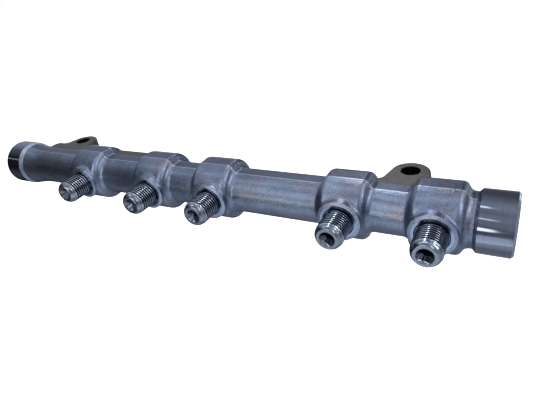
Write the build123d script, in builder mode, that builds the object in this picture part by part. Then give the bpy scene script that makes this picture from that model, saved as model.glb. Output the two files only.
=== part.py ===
import os
from math import acos, cos, hypot, pi, radians, sin, tan

from build123d import *

# Fuel rail, hot forged in one piece and machined. X runs along the rail, the
# outlet stubs point to -Y, the bolt lugs stand out to +Y, Z is up. It is drawn
# about the axis of its bore; the origin is then midway between the bolt holes,
# on the plane that the lugs seat on.

# Forged tube, with a barrel round each outlet
length = 326.0              # end face to end face
tube_r = 12.2
boss_rise = 4.55            # barrel above the tube
boss_margin = 0.7           # barrel's half length, to the middle of its end slope, past the pad
barrel_shift = [0.0, -0.4, -0.9, 0.0, 0.2]  # forged barrels, off the drilled outlets
blend_top = 3.2             # convex radius at a barrel's edge
blend_foot = 3.2            # concave radius at a barrel's foot
flash_drop = 0.38           # trimmed flash land, below the round
first_outlet = 80.5         # left end face to the first outlet
outlet_shares = [0.0, 0.2547, 0.4579, 0.8037, 1.0]  # places between the first outlet and the last

# Turned collars at the two ends, above the tube
left_rise = 2.65
left_len = 14.1
left_bevel_len = 3.4        # turned run-out beside the collar
left_bevel_drop = 0.8
taper_len = 7.6             # forged taper from the run-out towards the tube
taper_foot = 0.65           # height of the taper's end
right_rise = 2.25
right_len = 14.65
right_bevel_len = 1.5
neck_rise = 0.65            # neck between the last barrel and the right collar
neck_len = 1.0
end_chamfer = 1.0

# Outlet stubs, M14 x 1.5
thread_r = 7.0
thread_pitch = 1.5
stub_len = 14.5             # pad ring to stub end
lead_len = 1.6              # run-out of the thread, towards the end
lead_drop = 0.45
nose_len = 1.8              # chamfer at the end
nose_drop = 1.25
pad_rise = 0.75             # spot-faced ring of the round pad, above the barrel
pad_blend = 2.4             # forged fillet between pad and barrel
ring_width = 1.25           # flat of the ring
rim_width = 1.55            # its turned bevel
rim_drop = 0.5
relief_flare = 0.7          # mouth of the thread relief, past the thread
relief_floor = 1.2          # floor of the relief, past the thread's core
relief_depth = 0.6
relief_end = 0.7            # full thread begins this far above the ring
seat_r = 3.75               # mouth of the cone seat
seat_half_angle = 30.0
outlet_r = 1.9              # fuel drilling

# Bolt lugs
lug_from_end = 48.2         # end face to bolt axis
lug_gap = 1.45              # bolt axis behind the barrels
lug_tip_r = 9.4
lug_root_half = 11.9        # half width where the lug leaves its shelf
lug_drop = 0.5              # lug's top below the top of the tube
lug_thick = 13.0
lug_edge = 1.1
lug_root_blend = 3.5
lug_hole_r = 4.5            # clears an M8 bolt
lug_hole_chamfer = 0.3
shelf_y = 10.8              # back edge of the left lug's shelf, out to the second barrel
shelf_step = 2.1            # its other end stands out more
shelf_run = 8.4             # and reaches this far past the lug
shelf_corner = 4.0
shelf_right_y = 8.45        # back edge of the right lug's shelf

# Fuel space
bore_r = 5.0
port_r = 8.25               # tapping size of the M18 x 1.5 end ports
port_depth = 15.0
port_chamfer = 0.9
port_cone_half_angle = 60.0

half = length / 2
boss_r = tube_r + boss_rise
left_r = tube_r + left_rise
right_r = tube_r + right_rise
neck_r = tube_r + neck_rise
taper_x = -half + left_len + left_bevel_len
taper_start_r = left_r - left_bevel_drop
taper_end_r = tube_r + taper_foot
taper_slope = (taper_start_r - taper_end_r) / taper_len
run_out = 2 * taper_foot / taper_slope
right_x = half - right_len

thread_minor_r = thread_r - 0.6134 * thread_pitch
relief_r = thread_r + relief_flare
relief_floor_r = thread_minor_r + relief_floor
ring_r = relief_r + ring_width
pad_r = ring_r + rim_width
rim_slope = rim_drop / rim_width
rim_reach = rim_width + pad_blend
pad_face = boss_r + pad_rise
stub_end = pad_face + stub_len
boss_half = pad_r + boss_margin

lug_x = half - lug_from_end
lug_y = boss_r + lug_gap
lug_top = tube_r - lug_drop
shelf_end = lug_root_half + shelf_run
shelf_end_y = shelf_y + shelf_step

port_cone = (port_r - bore_r) / tan(radians(port_cone_half_angle))
seat_depth = (seat_r - outlet_r) / tan(radians(seat_half_angle))


def slope_parts(low):
    """Arc angle, straight wall and length of the slope from a barrel down to a radius."""
    step = boss_r - low
    both = blend_top + blend_foot
    angle = acos(1 - step / both) if step < both else pi / 2
    return angle, max(step - both, 0.0), both * sin(angle)


first_x = -half + first_outlet
last_x = right_x - right_bevel_len - neck_len - slope_parts(neck_r)[2] / 2 - boss_half - barrel_shift[-1]
stub_x = [first_x + share * (last_x - first_x) for share in outlet_shares]
barrel_x = [x + shift for x, shift in zip(stub_x, barrel_shift)]


def forged_outline(drop):
    """Upper outline of the forging, lowered by a drop and closed along the axis."""
    start = (taper_x - 0.5, taper_start_r + 0.5 * taper_slope - drop)
    last = (taper_x + taper_len, taper_end_r - drop)
    Line(start, last)
    tube = (last[0] + run_out, tube_r - drop)
    TangentArc(last, tube, tangent=(-1, 0), tangent_from_first=False)
    last = tube
    for xc in barrel_x:
        after = neck_r if xc == barrel_x[-1] else tube_r
        for low, side in ((tube_r, -1), (after, 1)):
            angle, wall, run = slope_parts(low)
            foot = (xc + side * (boss_half + run / 2), low - drop)
            top = (foot[0] - side * run, boss_r - drop)
            bend_x = foot[0] - side * blend_foot * sin(angle)
            bend_low = (bend_x, foot[1] + blend_foot * (1 - cos(angle)))
            bend_high = (bend_x, bend_low[1] + wall)
            Line(last, foot if side < 0 else top)
            TangentArc(foot, bend_low, tangent=(-side, 0))
            if wall > 0:
                Line(bend_low, bend_high)
            TangentArc(bend_high, top, tangent=(side, 0), tangent_from_first=False)
            last = top if side < 0 else foot
    end = (right_x + 2.0, neck_r - drop)
    Line(last, end)
    Polyline(end, (end[0], 0), (start[0], 0), start)


# Left lug, with a shelf along the back of the tube out to the second barrel
with BuildPart() as left_lug:
    with BuildSketch(Plane.XY.offset(lug_top - lug_thick)) as left_plan:
        with Locations((-lug_x, lug_y)):
            Circle(lug_tip_r)
        with Locations((-lug_x, 0)):
            Rectangle(2 * lug_root_half, 2 * shelf_y)
        make_hull()
        with Locations((-lug_x, 0)):
            Rectangle(shelf_end, shelf_end_y, align=(Align.MAX, Align.MIN))
            Rectangle(stub_x[1] - boss_half + lug_x, shelf_y, align=(Align.MIN, Align.MIN))
            Rectangle(2 * lug_root_half, 2 * shelf_y, align=(Align.CENTER, Align.MAX), mode=Mode.SUBTRACT)
        corners = left_plan.vertices().filter_by_position(Axis.Y, shelf_y - 0.01, shelf_end_y + 0.01)
        fillet(corners.sort_by(Axis.X)[0], shelf_corner)
        corners = left_plan.vertices().filter_by_position(Axis.Y, shelf_y - 0.01, shelf_end_y + 0.01)
        near = corners.filter_by_position(Axis.X, -lug_x - lug_root_half - 0.1, -lug_x + lug_root_half + 0.1)
        fillet(near, lug_root_blend)
    extrude(amount=lug_thick)
    fillet(left_lug.edges().group_by(Axis.Z)[-1] + left_lug.edges().group_by(Axis.Z)[0], lug_edge)

# Right lug, between the last two barrels
with BuildPart() as right_lug:
    with BuildSketch(Plane.XY.offset(lug_top - lug_thick)) as right_plan:
        with Locations((lug_x, lug_y)):
            Circle(lug_tip_r)
        with Locations((lug_x, 0)):
            Rectangle(2 * lug_root_half, 2 * shelf_right_y)
        make_hull()
        with Locations((stub_x[3] - boss_half / 2, 0)):
            Rectangle(stub_x[4] - stub_x[3] + boss_half, shelf_right_y, align=(Align.MIN, Align.MIN))
        with Locations((lug_x, 0)):
            Rectangle(2 * lug_root_half, 2 * shelf_right_y, align=(Align.CENTER, Align.MAX), mode=Mode.SUBTRACT)
        roots = right_plan.vertices().filter_by_position(Axis.Y, shelf_right_y - 0.01, shelf_right_y + 0.01)
        near = roots.filter_by_position(Axis.X, lug_x - lug_root_half - 0.1, lug_x + lug_root_half + 0.1)
        fillet(near, lug_root_blend)
    extrude(amount=lug_thick)
    fillet(right_lug.edges().group_by(Axis.Z)[-1] + right_lug.edges().group_by(Axis.Z)[0], lug_edge)

# One outlet stub, turned to the thread's outside diameter
with BuildPart() as stub:
    with BuildSketch(Plane.XY):
        with BuildLine():
            Polyline(
                (0, relief_depth - pad_face),
                (thread_minor_r, relief_depth - pad_face),
                (thread_minor_r, thread_r - thread_minor_r - relief_end - pad_face),
                (thread_r, -relief_end - pad_face),
                (thread_r, lead_len + nose_len - stub_end),
                (thread_r - lead_drop, nose_len - stub_end),
                (thread_r - lead_drop - nose_drop, -stub_end),
                (0, -stub_end),
                close=True,
            )
        make_face()
    revolve(axis=Axis.Y)

# What is turned off the pad: a relief round the thread's root and a bevel round the ring
with BuildPart() as facing:
    with BuildSketch(Plane.XY):
        with BuildLine():
            Polyline(
                (0, relief_depth - pad_face),
                (relief_floor_r, relief_depth - pad_face),
                (relief_r, -pad_face),
                (0, -pad_face),
                close=True,
            )
        make_face()
        with BuildLine():
            Polyline(
                (ring_r, -pad_face),
                (ring_r + rim_reach, rim_slope * rim_reach - pad_face),
                (ring_r + rim_reach, -pad_face),
                close=True,
            )
        make_face()
    revolve(axis=Axis.Y)

# One fuel passage: cone seat and drilling down to the rail's bore
with BuildPart() as passage:
    with BuildSketch(Plane.XY):
        with BuildLine():
            Polyline(
                (0, -stub_end),
                (seat_r, -stub_end),
                (outlet_r, seat_depth - stub_end),
                (outlet_r, 0),
                (0, 0),
                close=True,
            )
        make_face()
    revolve(axis=Axis.Y)

# One bolt hole, with its edges broken, down from the top of a lug
with BuildPart() as bolt_hole:
    with BuildSketch(Plane.XZ):
        with BuildLine():
            Polyline(
                (0, 0),
                (lug_hole_r + lug_hole_chamfer, 0),
                (lug_hole_r, -lug_hole_chamfer),
                (lug_hole_r, lug_hole_chamfer - lug_thick),
                (lug_hole_r + lug_hole_chamfer, -lug_thick),
                (0, -lug_thick),
                close=True,
            )
        make_face()
    revolve(axis=Axis.Z)

with BuildPart() as rail:
    # Forging: tube and barrels
    with BuildSketch(Plane.XZ):
        with BuildLine():
            forged_outline(0.0)
        make_face()
    revolve(axis=Axis.X)
    # Flash trimmed flat along the parting line, above and below
    with BuildSketch(Plane.XZ.offset(-2 * boss_r)):
        with BuildLine():
            forged_outline(flash_drop)
        make_face()
        mirror(about=Plane.XZ)
    extrude(amount=4 * boss_r, mode=Mode.INTERSECT)
    # Round pads, blended into barrels and slopes
    with BuildSketch(Plane.XZ):
        with Locations(*[(x, 0) for x in stub_x]):
            Circle(pad_r)
    extrude(amount=pad_face)
    roots = [
        edge
        for edge in rail.edges()
        if any(
            all(abs(hypot((edge @ t).X - x, (edge @ t).Z) - pad_r) < 0.01 for t in (0, 0.3, 0.7, 1))
            and all(0 < -(edge @ t).Y < pad_face - 0.05 for t in (0, 0.3, 0.7, 1))
            for x in stub_x
        )
    ]
    fillet(roots, pad_blend)
    # Lugs
    add(left_lug.part)
    add(right_lug.part)
    # Turned collars
    with BuildSketch(Plane.XZ):
        with BuildLine():
            Polyline(
                (-half, 0),
                (-half, left_r - end_chamfer),
                (-half + end_chamfer, left_r),
                (-half + left_len, left_r),
                (taper_x, taper_start_r),
                (taper_x, 0),
                close=True,
            )
        make_face()
        with BuildLine():
            Polyline(
                (half, 0),
                (half, right_r - end_chamfer),
                (half - end_chamfer, right_r),
                (right_x, right_r),
                (right_x - right_bevel_len, neck_r),
                (right_x - right_bevel_len, 0),
                close=True,
            )
        make_face()
    revolve(axis=Axis.X)
    # Stubs, on pads that are faced off
    with Locations(*[(x, 0, 0) for x in stub_x]):
        add(facing.part, mode=Mode.SUBTRACT)
        add(stub.part)
    # Main bore and end ports
    with BuildSketch(Plane.XZ):
        with BuildLine():
            Polyline(
                (-half, 0),
                (-half, port_r + port_chamfer),
                (-half + port_chamfer, port_r),
                (-half + port_depth, port_r),
                (-half + port_depth + port_cone, bore_r),
                (half - port_depth - port_cone, bore_r),
                (half - port_depth, port_r),
                (half - port_chamfer, port_r),
                (half, port_r + port_chamfer),
                (half, 0),
                close=True,
            )
        make_face()
    revolve(axis=Axis.X, mode=Mode.SUBTRACT)
    # Fuel passages
    with Locations(*[(x, 0, 0) for x in stub_x]):
        add(passage.part, mode=Mode.SUBTRACT)
    # Bolt holes
    with Locations((-lug_x, lug_y, lug_top), (lug_x, lug_y, lug_top)):
        add(bolt_hole.part, mode=Mode.SUBTRACT)

with BuildPart() as rail_body:
    with Locations((0, -lug_y, lug_thick - lug_top)):
        add(rail.part)

rail_body.part.label = "rail_body"

os.makedirs("parts", exist_ok=True)
export_step(rail_body.part, "parts/rail_body.step")
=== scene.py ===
from math import atan2, cos, hypot, pi, radians, sin

import bmesh
import bpy
from mathutils import Euler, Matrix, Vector


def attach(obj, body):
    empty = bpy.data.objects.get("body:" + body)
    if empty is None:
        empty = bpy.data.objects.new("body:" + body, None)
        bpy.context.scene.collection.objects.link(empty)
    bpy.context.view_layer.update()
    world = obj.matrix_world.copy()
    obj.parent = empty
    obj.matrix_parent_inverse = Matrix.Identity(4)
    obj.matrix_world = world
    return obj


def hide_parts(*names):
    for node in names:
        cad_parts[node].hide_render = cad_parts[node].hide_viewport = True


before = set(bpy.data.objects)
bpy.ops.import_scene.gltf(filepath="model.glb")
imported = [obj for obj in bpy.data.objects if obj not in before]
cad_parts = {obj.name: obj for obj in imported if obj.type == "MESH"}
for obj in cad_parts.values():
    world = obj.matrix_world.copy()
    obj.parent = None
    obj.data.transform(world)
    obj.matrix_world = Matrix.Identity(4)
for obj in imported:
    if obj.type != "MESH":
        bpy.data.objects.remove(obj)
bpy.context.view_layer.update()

MM = 0.001

# Sizes of the rail that the dressed model repeats, in millimetres
AXIS_Y, AXIS_Z = -18.2, 1.3         # bore axis, from the middle of the bolt holes
HALF = 163.0                        # middle of the rail to an end face
STUB_X = [-82.5, -27.993, 15.493, 89.495, 131.504]
STUB_END = 32.0                     # rail axis to the end of a stub
PAD = 17.5                          # rail axis to the flat of a pad
PAD_R = 8.95                        # edge of that flat
RIM_DROP, RIM_WIDTH = 0.5, 1.55     # bevelled rim round it
RIM_SLOPE = RIM_DROP / RIM_WIDTH
RIM_END_R = 13.0
RELIEF = 16.9                       # rail axis to the floor of the relief
RELIEF_R = 7.7
RELIEF_FLOOR_R = 7.28
THREAD_R = 7.0
THREAD_CORE_R = 6.08
PITCH = 1.5
THREAD_FROM, THREAD_TO = 17.5, 30.4
NOSE_FROM, NOSE_TAPER = 28.55, 0.27  # start of the tapered nose, drop in radius per length
SEAT_R = 3.75
SEAT_HALF_ANGLE = radians(30)
OUTLET_R = 1.9
SEAT_DEPTH = (SEAT_R - OUTLET_R) / sin(SEAT_HALF_ANGLE) * cos(SEAT_HALF_ANGLE)
LEFT_COLLAR_END = -148.9
LEFT_BAND_END = -145.5
RIGHT_COLLAR_START = 146.8
LUG_X, LUG_HOLE_R = 114.8, 4.5
PORT_R = 8.25
FLASH_DROP = 0.38                   # trimmed lands, below the round skin
EDGE_WIDTH = 0.20                   # painted highlight: a bright line along the edge of a land
EDGE_UP = 9.0                       # the lands lie farther than this above and below the axis

# Limits that tell one finish from the next: places in millimetres
HOLE_WALL = 0.25                    # past the radius of a bolt hole
PORT_MOUTH = 1.2                    # past the radius of a port
END_SKIN = 0.2                      # in from an end face, for the end face
COLLAR_BEVEL = 1.6                  # in from an end face, for a collar's chamfer
LAND_HALF = 4.0                     # the lands' half widths stay under this
LUG_BACK = 3.2                      # lugs and shelves lie behind this
LUG_LOW, LUG_HIGH = -1.5, 11.9      # and between these heights
# and shares of a face's normal
FACING = 0.9                        # along an axis, for a face that looks that way
SLANT = 0.3                         # along the rail, for a chamfer, and the least counted across it
OUTWARD = 0.05                      # away from the axis, for a face that looks outward
LEVEL = 0.02                        # along Y, for a flat land
ROUND = 0.985                       # away from the axis, for the round skin

TIGHT, LOOSE = 0.01, 0.02           # tolerances for finding faces and edge loops of the CAD mesh
WELD = 2e-6                         # metres between vertices that are one
SHARP = radians(32)                 # edges that bend more are hard

AROUND = 96                         # vertices round a stub
ANGLES = [-pi + 2 * pi * k / AROUND for k in range(AROUND)]

FORGED, LAND, LUG, THREAD, CREST, NOSE, END, SATIN, FACE, GROOVE, TURNED, BAND, BORE, SEAT = range(14)


# Materials

# Blasted skin: scales of its noises, and the parts of their ranges that are used
CLOUD_SCALE, STAIN_SCALE, DENT_SCALE, GRAIN_SCALE = 60.0, 70.0, 500.0, 1700.0
CLOUD_LOW, CLOUD_HIGH = 0.34, 0.66
STAIN_LOW, STAIN_HIGH, STAIN_MOST = 0.48, 0.72, 0.85
GRAIN_LOW, GRAIN_HIGH, GRAIN_SHADE = 0.25, 0.75, 0.40
SMOOTHER, ROUGHER = 0.05, 0.07      # change of roughness with the grain
DENT_BUMP = (0.30, 0.0003)          # strength, height in metres
GRAIN_BUMP = (0.40, 0.00016)
# Colour of the painted highlight along the edges of the lands
GLINT = (0.62, 0.68, 0.78)

# Machined steel
NOISE_LOW, NOISE_HIGH = 0.3, 0.7
LINE_SMOOTHER, LINE_ROUGHER = 0.85, 1.2
LINE_HEIGHT = 0.00001
BORE_GRAIN = 900.0


class Nodes:
    """Shorthand for building the node tree of one material."""

    def __init__(self, name):
        self.mat = bpy.data.materials.new(name)
        self.mat.use_nodes = True
        self.tree = self.mat.node_tree
        self.tree.nodes.clear()
        self.out = self.new("ShaderNodeOutputMaterial")

    def new(self, kind, **values):
        node = self.tree.nodes.new(kind)
        for key, value in values.items():
            setattr(node, key, value)
        return node

    def link(self, a, b):
        self.tree.links.new(a, b)

    def feed(self, socket, value):
        """Sets a number or a colour on a socket, or links another node's output to it."""
        if isinstance(value, (int, float)):
            socket.default_value = value
        elif isinstance(value, tuple):
            socket.default_value = (*value, 1.0)
        else:
            self.link(value, socket)

    def coords(self, stretch=None):
        source = self.new("ShaderNodeTexCoord").outputs["Object"]
        if stretch is None:
            return source
        mapping = self.new("ShaderNodeMapping")
        mapping.inputs["Scale"].default_value = stretch
        self.link(source, mapping.inputs["Vector"])
        return mapping.outputs["Vector"]

    def noise(self, vector, scale, detail=3.0, rough=0.55):
        node = self.new("ShaderNodeTexNoise")
        node.inputs["Scale"].default_value = scale
        node.inputs["Detail"].default_value = detail
        node.inputs["Roughness"].default_value = rough
        self.link(vector, node.inputs["Vector"])
        return node.outputs["Fac"]

    def ramp(self, fac, *stops):
        """Colour between two stops of (place, colour)."""
        node = self.new("ShaderNodeValToRGB")
        for element, (place, colour) in zip(node.color_ramp.elements, stops):
            element.position = place
            element.color = (*colour, 1.0)
        self.link(fac, node.inputs["Fac"])
        return node.outputs["Color"]

    def span(self, value, low, high, to_low, to_high):
        node = self.new("ShaderNodeMapRange")
        node.inputs["From Min"].default_value = low
        node.inputs["From Max"].default_value = high
        node.inputs["To Min"].default_value = to_low
        node.inputs["To Max"].default_value = to_high
        self.link(value, node.inputs["Value"])
        return node.outputs["Result"]

    def math(self, kind, a, b=None):
        node = self.new("ShaderNodeMath", operation=kind)
        self.feed(node.inputs[0], a)
        if b is not None:
            self.feed(node.inputs[1], b)
        return node.outputs[0]

    def mix(self, fac, a, b, blend="MIX"):
        node = self.new("ShaderNodeMix", data_type="RGBA", blend_type=blend)
        for key, value in (("Factor", fac), ("A", a), ("B", b)):
            socket = next(s for s in node.inputs if s.name == key and s.enabled)
            self.feed(socket, value)
        return next(s for s in node.outputs if s.enabled)

    def bump(self, height, strength, distance, normal=None):
        node = self.new("ShaderNodeBump")
        node.inputs["Strength"].default_value = strength
        node.inputs["Distance"].default_value = distance
        self.link(height, node.inputs["Height"])
        if normal is not None:
            self.link(normal, node.inputs["Normal"])
        return node.outputs["Normal"]

    def principled(self, **values):
        node = self.new("ShaderNodeBsdfPrincipled")
        for key, value in values.items():
            self.feed(node.inputs[key.replace("_", " ")], value)
        self.link(node.outputs["BSDF"], self.out.inputs["Surface"])


def forged_material(name, dark, light, warm, rough, edge_glint=0.0):
    """Blasted steel: cloudy colour, warm stains, dents, fine grain and, if asked, a painted glint at the
    lands.
    """
    n = Nodes(name)
    at = n.coords()
    colour = n.ramp(n.noise(at, CLOUD_SCALE, 4.0, 0.6), (CLOUD_LOW, dark), (CLOUD_HIGH, light))
    stain = n.span(n.noise(at, STAIN_SCALE), STAIN_LOW, STAIN_HIGH, 0.0, STAIN_MOST)
    colour = n.mix(stain, colour, warm)
    grain = n.noise(at, GRAIN_SCALE, 2.0, 0.6)
    shade = n.span(grain, GRAIN_LOW, GRAIN_HIGH, 1 - GRAIN_SHADE, 1 + GRAIN_SHADE)
    colour = n.mix(1.0, colour, shade, "MULTIPLY")
    roughness = n.span(grain, NOISE_LOW, NOISE_HIGH, rough - SMOOTHER, rough + ROUGHER)
    # Painted highlight: a pale colour mixed in along the edges of the lands
    if edge_glint:
        glint = n.math("MULTIPLY", trimmed_edge(n, at), edge_glint)
        colour = n.mix(glint, colour, GLINT)
    normal = n.bump(n.noise(at, DENT_SCALE, 2.0, 0.5), *DENT_BUMP)
    normal = n.bump(grain, *GRAIN_BUMP, normal)
    n.principled(Base_Color=colour, Metallic=1.0, Roughness=roughness, Normal=normal)
    return n.mat


def trimmed_edge(n, at):
    """Mask of the painted glint: on the forged skin, 1 beside the flat lands above and below, fading to 0.
    """
    split = n.new("ShaderNodeSeparateXYZ")
    n.link(at, split.inputs[0])
    back = n.math("SUBTRACT", n.math("MULTIPLY", split.outputs["Y"], 1 / MM), AXIS_Y)
    up = n.math("SUBTRACT", n.math("MULTIPLY", split.outputs["Z"], 1 / MM), AXIS_Z)
    up = n.math("ABSOLUTE", up)
    radius = n.math("SQRT", n.math("ADD", n.math("MULTIPLY", back, back), n.math("MULTIPLY", up, up)))
    half = n.math("SUBTRACT", n.math("MULTIPLY", radius, 2 * FLASH_DROP), FLASH_DROP * FLASH_DROP)
    off = n.math("SUBTRACT", n.math("ABSOLUTE", back), n.math("SQRT", half))
    near = n.span(off, EDGE_WIDTH, 2 * EDGE_WIDTH, 1.0, 0.0)
    return n.math("MULTIPLY", near, n.math("GREATER_THAN", up, EDGE_UP))


def machined_material(name, colour, rough, stretch, depth=0.1, spread=0.11):
    """Machined steel, with a noise that is finest along the axes that are stretched most."""
    n = Nodes(name)
    lines = n.noise(n.coords(stretch), 1.0, 2.0, 0.5)
    low = tuple((1 - spread) * c for c in colour)
    high = tuple((1 + spread) * c for c in colour)
    values = {
        "Base_Color": n.ramp(lines, (NOISE_LOW, low), (NOISE_HIGH, high)),
        "Metallic": 1.0,
        "Roughness": n.span(lines, NOISE_LOW, NOISE_HIGH, rough * LINE_SMOOTHER, rough * LINE_ROUGHER),
    }
    if depth:
        values["Normal"] = n.bump(lines, depth, LINE_HEIGHT)
    n.principled(**values)
    return n.mat


def bore_material():
    """Dark, dull steel inside the holes: the near-black colour is painted shade."""
    n = Nodes("bore_painted_shade")
    grain = n.noise(n.coords(), BORE_GRAIN)
    shade = n.ramp(grain, (NOISE_LOW, (0.006, 0.007, 0.010)), (NOISE_HIGH, (0.016, 0.018, 0.024)))
    n.principled(Base_Color=shade, Metallic=1.0, Roughness=0.6)
    return n.mat


materials = {
    FORGED: forged_material(
        "forged_skin", (0.165, 0.205, 0.295), (0.275, 0.325, 0.435), (0.265, 0.247, 0.31), 0.33,
        edge_glint=0.8),
    # Painted shade: the trimmed lands take a darker, rougher copy of the forged skin; the darker colour
    # stands in for the dark their flat tops reflect
    LAND: forged_material(
        "trimmed_land_painted_shade", (0.107, 0.123, 0.18), (0.156, 0.176, 0.248), (0.15, 0.15, 0.18), 0.40),
    # Painted reflection: the lugs take a darker, warm grey copy of the forged skin that stands in for a warm
    # wall reflected in their tops
    LUG: forged_material(
        "lug_skin_painted_reflection", (0.107, 0.103, 0.102), (0.153, 0.147, 0.145), (0.158, 0.143, 0.123), 0.45),
    # Painted shade and highlight: the thread's steel comes in two copies, near-black on the flanks and
    # bright on the crests
    THREAD: machined_material("thread_flank_painted_shade", (0.022, 0.029, 0.044), 0.15, (400, 4000, 400)),
    CREST: machined_material("thread_crest_painted_highlight", (0.66, 0.71, 0.80), 0.09, (400, 4000, 400)),
    NOSE: machined_material("nose_steel", (0.285, 0.33, 0.395), 0.08, (500, 3000, 500), depth=0.05),
    END: machined_material("end_steel", (0.235, 0.27, 0.325), 0.20, (700, 700, 700)),
    SATIN: forged_material(
        "ring_steel", (0.28, 0.34, 0.47), (0.38, 0.46, 0.62), (0.36, 0.40, 0.52), 0.38),
    FACE: machined_material("spot_face", (0.31, 0.36, 0.48), 0.18, (700, 700, 700)),
    # Painted shade: the relief groove takes a darker copy of the spot face's machined steel, standing in for
    # the shade in the recess
    GROOVE: machined_material("groove_painted_shade", (0.14, 0.19, 0.28), 0.25, (700, 700, 700)),
    TURNED: machined_material(
        "turned_steel", (0.265, 0.29, 0.37), 0.08, (900, 40, 40), depth=0.0, spread=0.04),
    # Painted light: the run-out band faces the lamps on the right and is painted paler and bluer than the
    # collar's turned steel
    BAND: machined_material("run_out_painted_light", (0.54, 0.65, 0.79), 0.38, (500, 150, 150), spread=0.12),
    BORE: bore_material(),
    SEAT: machined_material("seat_steel", (0.21, 0.235, 0.28), 0.08, (500, 500, 500), depth=0.03),
}


# The rail: the CAD mesh with its outlet stubs cut again, threaded

def about_axis(co):
    """(along, back, up) of a point, in millimetres from the bore axis."""
    return co.x / MM, co.y / MM - AXIS_Y, co.z / MM - AXIS_Z


def face_slot(face):
    """Finish of a face of the CAD mesh, by where it lies and how it is turned."""
    x, back, up = about_axis(face.calc_center_median())
    radius = hypot(back, up)
    normal = face.normal
    outward = normal.y * back + normal.z * up
    from_bolt = hypot(abs(x) - LUG_X, back + AXIS_Y)
    # Walls of the bolt holes and ports take the near-black bore finish, painted shade
    if from_bolt < LUG_HOLE_R + HOLE_WALL and abs(normal.z) < FACING:
        return BORE
    if radius < PORT_R + PORT_MOUTH and outward <= OUTWARD * radius:
        at_end = abs(normal.x) > FACING and abs(x) > HALF - END_SKIN
        return SATIN if at_end else BORE
    if x < LEFT_COLLAR_END or x > RIGHT_COLLAR_START:
        bevelled = abs(normal.x) > SLANT and abs(x) > HALF - COLLAR_BEVEL
        return SATIN if bevelled else TURNED
    if x < LEFT_BAND_END:
        return BAND
    level = abs(normal.y) < LEVEL and abs(normal.z) > OUTWARD
    if level and abs(back) < LAND_HALF and abs(up) > EDGE_UP:
        return LAND
    if back < 0 and any(on_rim(face, stub_x) for stub_x in STUB_X):
        return SATIN
    across = max(hypot(normal.y, normal.z), SLANT)
    if back > LUG_BACK and LUG_LOW < up < LUG_HIGH and outward < ROUND * radius * across:
        return LUG
    return FORGED


def on_rim(face, stub_x):
    """Whether a face belongs to the bevel round a pad."""
    for vert in face.verts:
        _, r, s = stub_polar(vert.co, stub_x)
        drop = (r - PAD_R) * RIM_SLOPE
        if r > RIM_END_R or r < PAD_R - TIGHT or abs(s - PAD + drop) > LOOSE:
            return False
    return True


# One pitch of the thread: place along it and depth, both as shares
THREAD_FORM = [
    (0.0, 0.0), (0.12, 0.05), (0.16, 0.12), (0.41, 0.94), (0.45, 1.0),
    (0.55, 1.0), (0.59, 0.94), (0.84, 0.12), (0.88, 0.05),
]
CREST_STEPS = (0, 8)                # steps of the form that get the bright crest copy, a painted highlight
THREAD_LEAD = 0.7                   # length of the chamfer that the thread starts on
THREAD_FADE = 1.6                   # length over which it runs out

# Rings of a stub as (distance from the rail axis, radius, slot of the faces that lead to the ring).
# The small steps round the corners.
ROOT_RINGS = [
    (PAD, PAD_R - 0.05, FACE), (PAD, RELIEF_R + 0.06, FACE), (PAD - 0.06, RELIEF_R - 0.02, FACE),
    # the relief groove's rings take the darker groove copy, painted shade
    (RELIEF + 0.06, RELIEF_FLOOR_R + 0.04, GROOVE), (RELIEF, RELIEF_FLOOR_R - 0.05, GROOVE),
    (RELIEF, THREAD_CORE_R + 0.35, GROOVE), (RELIEF + 0.10, THREAD_CORE_R + 0.08, GROOVE),
    (RELIEF + 0.30, THREAD_CORE_R, GROOVE), (THREAD_FROM, THREAD_CORE_R, GROOVE),
]
NOSE_RINGS = [
    (30.60, 6.36, NOSE), (30.80, 6.26, NOSE), (31.10, 6.04, NOSE), (31.40, 5.82, NOSE), (31.65, 5.60, NOSE),
    (31.85, 5.42, NOSE), (31.95, 5.30, NOSE), (STUB_END, 5.18, NOSE), (STUB_END, 4.4, END),
    (STUB_END, SEAT_R + 0.12, END), (STUB_END - 0.06, SEAT_R, END),
]
SEAT_STEPS = 8


def stub_point(x, s, r, angle):
    return Vector((x + r * cos(angle), AXIS_Y - s, AXIS_Z + r * sin(angle))) * MM


def stub_polar(co, x):
    """(angle, radius, distance from the rail axis) of a point about one stub's axis."""
    along, back, up = about_axis(co)
    return atan2(up, along - x), hypot(along - x, up), -back


def thread_radius(s, depth):
    """Radius of the thread where its form is cut to a share of the full depth."""
    fade = min((THREAD_TO - s) / THREAD_FADE, 1.0)
    cut = THREAD_R - (THREAD_R - THREAD_CORE_R) * depth * fade
    lead = THREAD_CORE_R + (THREAD_R - THREAD_CORE_R) * (s - THREAD_FROM) / THREAD_LEAD
    nose = THREAD_R - NOSE_TAPER * max(s - NOSE_FROM, 0.0)
    return min(cut, lead, nose)


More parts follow.
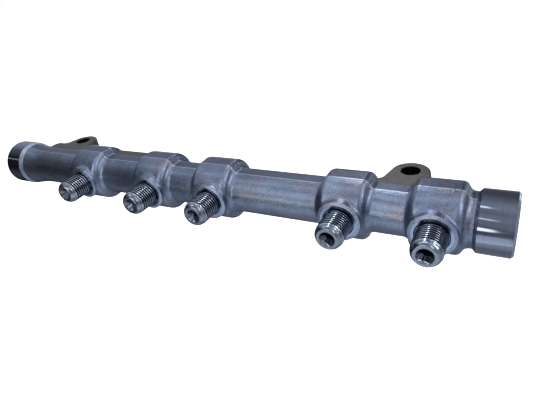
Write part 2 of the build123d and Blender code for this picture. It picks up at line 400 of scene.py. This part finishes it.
def cut_thread(bm, x, root, nose):
    """Helical right-hand thread between two rings of a stub."""
    form = len(THREAD_FORM)
    turns = round((THREAD_TO - THREAD_FROM) / PITCH) + 2
    made = {}

    def vertex(k, j):
        if k == AROUND:
            k, j = 0, j + form
        share, depth = THREAD_FORM[j % form]
        s = THREAD_FROM + PITCH * (j // form + share + k / AROUND)
        if s <= THREAD_FROM:
            return root[k]
        if s >= THREAD_TO:
            return nose[k]
        if (k, j) not in made:
            made[k, j] = bm.verts.new(stub_point(x, s, thread_radius(s, depth), ANGLES[k]))
        return made[k, j]

    for j in range(-form, turns * form):
        for k in range(AROUND):
            corners = [vertex(k, j), vertex(k + 1, j), vertex(k + 1, j + 1), vertex(k, j + 1)]
            corners = list(dict.fromkeys(corners))
            if len(corners) < 3:
                continue
            # Crest steps take the bright copy and the rest the near-black copy: painted highlight and shade
            slot = THREAD
            if j % form in CREST_STEPS:
                slot = CREST
            elif THREAD_FROM + PITCH * (j / form + k / AROUND) > THREAD_TO - THREAD_FADE:
                slot = NOSE
            bm.faces.new(corners).material_index = slot


def zip_loops(bm, outer, inner, slot):
    """Triangles between two loops of (angle, vertex) that are sorted by angle."""
    i = j = 0
    while i < len(outer) or j < len(inner):
        a0, a1 = outer[i % len(outer)], outer[(i + 1) % len(outer)]
        b0, b1 = inner[j % len(inner)], inner[(j + 1) % len(inner)]
        next_a = a1[0] + (2 * pi if i + 1 >= len(outer) else 0)
        next_b = b1[0] + (2 * pi if j + 1 >= len(inner) else 0)
        if j >= len(inner) or (i < len(outer) and next_a <= next_b):
            face = bm.faces.new((a0[1], a1[1], b0[1]))
            i += 1
        else:
            face = bm.faces.new((a0[1], b1[1], b0[1]))
            j += 1
        face.material_index = slot


def ring(bm, x, s, r):
    return [bm.verts.new(stub_point(x, s, r, angle)) for angle in ANGLES]


def bridge(bm, first, second, slot):
    for k in range(AROUND):
        m = (k + 1) % AROUND
        bm.faces.new((first[k], first[m], second[m], second[k])).material_index = slot


def on_stub(face, x):
    """Whether a face belongs to the part of a stub that is cut again."""
    for vert in face.verts:
        _, r, s = stub_polar(vert.co, x)
        if r >= PAD_R + TIGHT or s <= RELIEF - LOOSE:
            return False
    return True


def cut_stub(bm, x):
    """Swaps a plain stub for a threaded one that shares the mesh's edge loops."""
    doomed = [face for face in bm.faces if on_stub(face, x)]
    bmesh.ops.delete(bm, geom=doomed, context="FACES")
    rim, mouth = [], []
    for vert in bm.verts:
        if not vert.is_boundary:
            continue
        angle, r, s = stub_polar(vert.co, x)
        if abs(r - PAD_R) < LOOSE and abs(s - PAD) < LOOSE:
            rim.append((angle, vert))
        elif abs(r - OUTLET_R) < LOOSE and s > RELIEF:
            mouth.append((angle, vert))
    rim.sort(key=lambda pair: pair[0])
    mouth.sort(key=lambda pair: pair[0])
    last = None
    for s, r, slot in ROOT_RINGS:
        row = ring(bm, x, s, r)
        if last is None:
            zip_loops(bm, rim, list(zip(ANGLES, row)), slot)
        else:
            bridge(bm, last, row, slot)
        last = row
    nose = ring(bm, x, THREAD_TO, thread_radius(THREAD_TO, 0.0))
    cut_thread(bm, x, last, nose)
    last = nose
    shares = [i / SEAT_STEPS for i in range(1, SEAT_STEPS)]
    seat_rings = [(STUB_END - SEAT_DEPTH * t, SEAT_R + (OUTLET_R - SEAT_R) * t, SEAT) for t in shares]
    for s, r, slot in NOSE_RINGS + seat_rings:
        row = ring(bm, x, s, r)
        bridge(bm, last, row, slot)
        last = row
    zip_loops(bm, list(zip(ANGLES, last)), mouth, SEAT)


def add_object(name, data):
    obj = bpy.data.objects.new(name, data)
    bpy.context.scene.collection.objects.link(obj)
    return obj


def build_rail(node):
    bm = bmesh.new()
    bm.from_mesh(node.data)
    bmesh.ops.remove_doubles(bm, verts=bm.verts, dist=WELD)
    bm.normal_update()
    for face in bm.faces:
        face.material_index = face_slot(face)
    for x in STUB_X:
        cut_stub(bm, x)
    loose = [v for v in bm.verts if not v.link_faces]
    bmesh.ops.delete(bm, geom=loose, context="VERTS")
    bmesh.ops.recalc_face_normals(bm, faces=bm.faces)
    for face in bm.faces:
        face.smooth = True
    for edge in bm.edges:
        if len(edge.link_faces) != 2:
            continue
        a, b = edge.link_faces
        if a.material_index != b.material_index:
            edge.smooth = False
        elif a.material_index not in (THREAD, CREST) and edge.calc_face_angle(0.0) > SHARP:
            edge.smooth = False
    mesh = bpy.data.meshes.new("rail")
    bm.to_mesh(mesh)
    bm.free()
    mesh.attributes.remove(mesh.attributes["custom_normal"])
    for slot in sorted(materials):
        mesh.materials.append(materials[slot])
    rail = add_object("rail", mesh)
    weighted = rail.modifiers.new("flat_faces", "WEIGHTED_NORMAL")
    weighted.keep_sharp = True
    return rail


rail = build_rail(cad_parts["rail_body"])
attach(rail, "root")
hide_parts("rail_body")


# Stage: pale floor, white background, and a dark studio wall that the camera looks through

FLOOR_HALF = 30.0
FLOOR_Z = -1.3
FLOOR_COLOUR = (0.82, 0.82, 0.82)
WALL_RADIUS, WALL_SUBDIVISIONS = 1.2, 4
WALL_LEVEL = 0.022
WALL_COLOUR = (0.91, 0.975, 1.10)
# Soft glows of the wall: degrees round from the front towards the right, degrees up,
# half width in degrees, strength
GLOWS = [
    (0, 80, 60, 0.34), (270, 60, 45, 0.28), (85, 40, 50, 0.60), (70, -30, 45, 0.54),
    (0, -75, 60, 0.29), (228, 23, 42, 0.50), (20, 5, 35, 0.20), (15, 32, 28, 0.25),
    (20, -38, 35, 0.35), (155, -28, 48, 0.40), (180, 35, 40, 0.14), (-50, -45, 40, 0.13),
]


def floor_material():
    """Pale floor that the camera, metal and glass see as white."""
    n = Nodes("pale_floor")
    diffuse = n.new("ShaderNodeBsdfDiffuse")
    diffuse.inputs["Color"].default_value = (*FLOOR_COLOUR, 1)
    glow = n.new("ShaderNodeEmission")
    path = n.new("ShaderNodeLightPath")
    seen = n.math("MAXIMUM", path.outputs["Is Camera Ray"], path.outputs["Is Glossy Ray"])
    seen = n.math("MAXIMUM", seen, path.outputs["Is Transmission Ray"])
    n.link(seen, glow.inputs["Strength"])
    both = n.new("ShaderNodeAddShader")
    n.link(diffuse.outputs[0], both.inputs[0])
    n.link(glow.outputs[0], both.inputs[1])
    n.link(both.outputs[0], n.out.inputs["Surface"])
    return n.mat


def wall_material():
    """Dark studio wall with soft glows, the brightest to the right."""
    n = Nodes("studio_wall")
    towards = n.new("ShaderNodeVectorMath", operation="NORMALIZE")
    n.link(n.coords(), towards.inputs[0])
    total = WALL_LEVEL
    for bearing, height, half_width, strength in GLOWS:
        flat = cos(radians(height))
        dot = n.new("ShaderNodeVectorMath", operation="DOT_PRODUCT")
        n.link(towards.outputs["Vector"], dot.inputs[0])
        dot.inputs[1].default_value = (
            flat * sin(radians(bearing)), -flat * cos(radians(bearing)), sin(radians(height)))
        part = n.new("ShaderNodeMapRange", interpolation_type="SMOOTHSTEP")
        part.inputs["From Min"].default_value = cos(radians(half_width))
        part.inputs["To Max"].default_value = strength
        n.link(dot.outputs["Value"], part.inputs["Value"])
        total = n.math("ADD", total, part.outputs["Result"])
    glow = n.new("ShaderNodeEmission")
    glow.inputs["Color"].default_value = (*WALL_COLOUR, 1)
    n.link(total, glow.inputs["Strength"])
    n.link(glow.outputs[0], n.out.inputs["Surface"])
    return n.mat


def build_floor():
    mesh = bpy.data.meshes.new("floor")
    h = FLOOR_HALF
    mesh.from_pydata([(-h, -h, 0), (h, -h, 0), (h, h, 0), (-h, h, 0)], [], [(0, 1, 2, 3)])
    mesh.materials.append(floor_material())
    floor = add_object("floor", mesh)
    floor.location.z = FLOOR_Z
    return floor


def build_wall():
    mesh = bpy.data.meshes.new("studio_wall")
    bm = bmesh.new()
    bmesh.ops.create_icosphere(bm, subdivisions=WALL_SUBDIVISIONS, radius=WALL_RADIUS)
    bm.to_mesh(mesh)
    bm.free()
    mesh.materials.append(wall_material())
    wall = add_object("studio_wall", mesh)
    wall.visible_camera = False
    wall.visible_shadow = False
    return wall


floor = build_floor()
wall = build_wall()

world = bpy.data.worlds.new("white")
bpy.context.scene.world = world
world.use_nodes = True
background = world.node_tree.nodes["Background"]
background.inputs["Color"].default_value = (1, 1, 1, 1)
background.inputs["Strength"].default_value = 1.0

# Colours of the lamps
SKY = (0.78, 0.91, 1.0)
COOL = (0.92, 0.97, 1.0)
NEUTRAL = (0.96, 0.98, 1.0)
WARM = (1.0, 0.97, 0.90)


def strip(name, place, target, wide, high, power, colour):
    """Rectangular soft lamp that faces a target and isn't seen by the camera."""
    data = bpy.data.lights.new(name, "AREA")
    data.energy = power
    data.color = colour
    data.shape = "RECTANGLE"
    data.size = wide
    data.size_y = high
    lamp = add_object(name, data)
    lamp.location = place
    lamp.rotation_euler = (Vector(target) - Vector(place)).to_track_quat("-Z", "Y").to_euler()
    lamp.visible_camera = False


strip("screen", (-0.100, -0.440, 0.290), (-0.100, -0.02, 0.0), 0.38, 0.30, 0.45, NEUTRAL)
strip("front", (-0.050, -0.450, 0.022), (-0.050, -0.03, 0.005), 0.40, 0.070, 0.29, WARM)
strip("upper", (-0.050, -0.357, 0.263), (-0.050, -0.03, 0.010), 0.40, 0.030, 0.06, COOL)
strip("over", (0.020, -0.105, 0.430), (0.020, -0.02, 0.0), 0.24, 0.045, 0.090, NEUTRAL)
strip("over_left", (-0.270, -0.145, 0.430), (-0.270, -0.02, 0.0), 0.26, 0.04, 0.080, NEUTRAL)
strip("side", (0.400, -0.300, 0.330), (0.0, -0.05, 0.0), 0.05, 0.20, 0.080, COOL)
strip("window", (0.576, -0.096, 0.360), (0.05, -0.02, 0.0), 0.10, 0.40, 0.50, COOL)
strip("ceiling", (0.010, 0.290, 0.345), (0.010, 0.29, 0.0), 0.05, 0.40, 0.46, COOL)
strip("back_right", (0.430, 0.380, 0.220), (0.10, -0.04, 0.22), 0.05, 0.48, 0.42, COOL)
strip("high_right", (0.360, 0.100, 0.400), (0.10, -0.04, 0.0), 0.05, 0.24, 0.13, COOL)
strip("table", (-0.050, -0.410, -0.250), (0.00, -0.04, 0.0), 0.46, 0.25, 0.215, SKY)
strip("left_line", (-0.572, -0.256, 0.166), (-0.154, -0.030, 0.010), 0.14, 0.02, 0.007, COOL)

# Camera at the photograph's place
CAMERA_AT = (0.157150, -0.202773, 0.120063)
CAMERA_TURN = (1.048683, 0.139214, 0.478764)
LENS, SENSOR = 30.81, 36.0          # millimetres
NEAREST = 0.01

camera_data = bpy.data.cameras.new("camera")
camera_data.sensor_fit = "HORIZONTAL"
camera_data.sensor_width = SENSOR
camera_data.lens = LENS
camera_data.clip_start = NEAREST
camera = add_object("camera", camera_data)
camera.location = CAMERA_AT
camera.rotation_euler = Euler(CAMERA_TURN, "XYZ")
bpy.context.scene.camera = camera
bpy.context.scene.view_settings.view_transform = "Standard"
